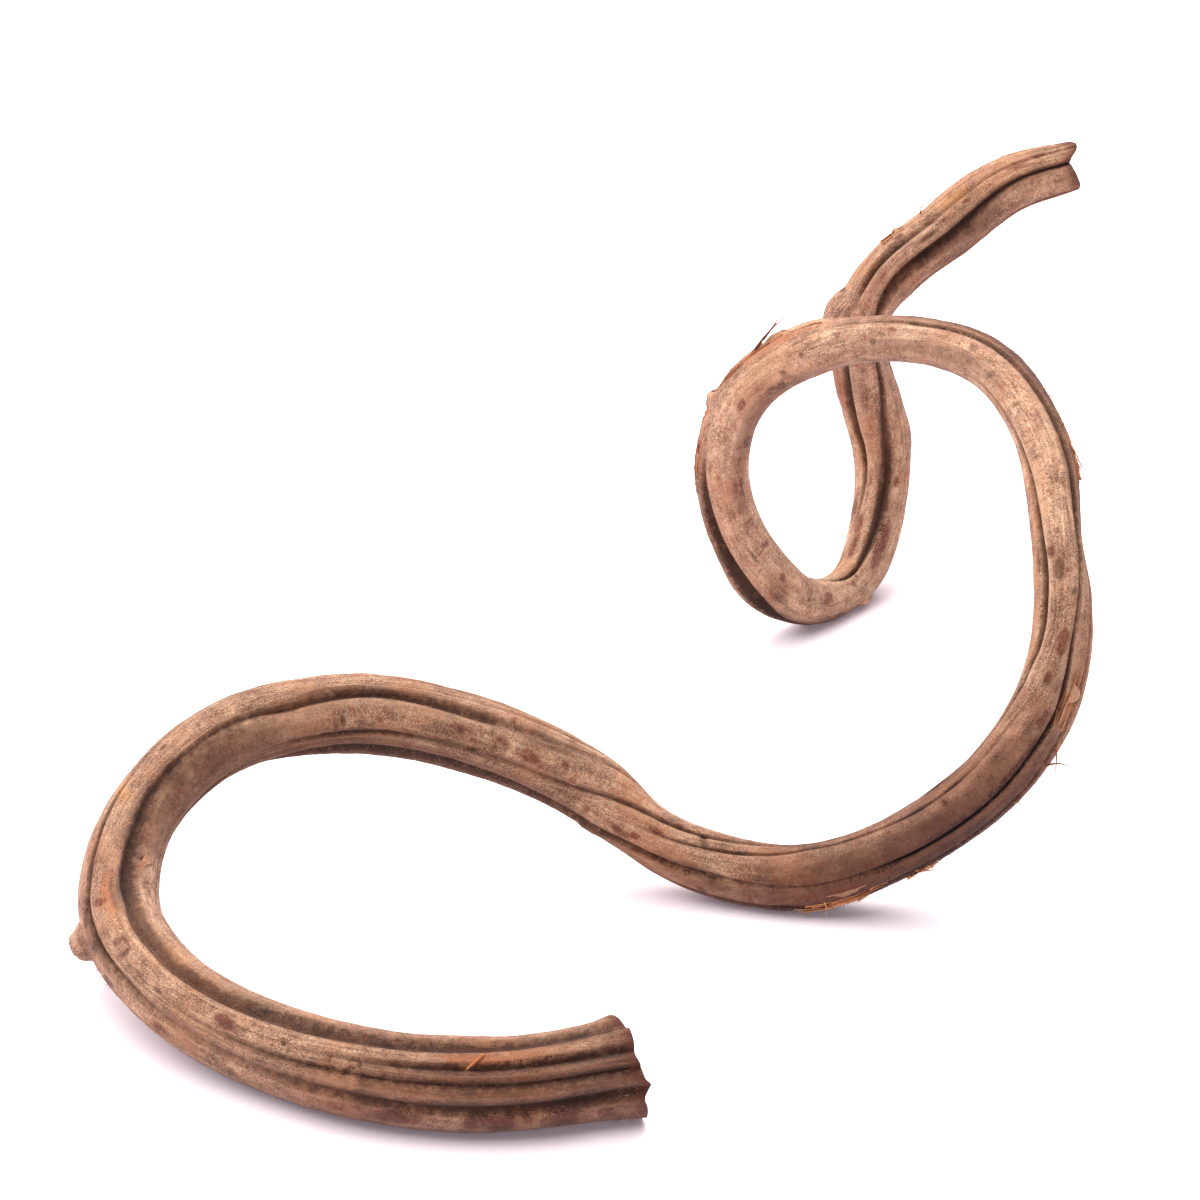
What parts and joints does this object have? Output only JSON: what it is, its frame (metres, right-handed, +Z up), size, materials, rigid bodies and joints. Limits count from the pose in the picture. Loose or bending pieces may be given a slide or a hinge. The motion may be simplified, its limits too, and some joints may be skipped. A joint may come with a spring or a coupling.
{
  "type": "dried liana stem",
  "caption": "Length of dried, furrowed liana stem bent in an S that closes into a loop at its thin end, lying free as a decoration.",
  "frame": {"origin": "middle of the stem's box in plan, on the surface it lies on", "axes": "+Z up from that surface, -Y towards the thick front stretch, +X towards the side where both cut ends point"},
  "size_m": [0.2986, 0.3536, 0.1567],
  "materials": {
    "bark": "dry velvety bark, matt"
  },
  "bodies": {
    "root": {"liana": "bark"}
  },
  "joints": []
}
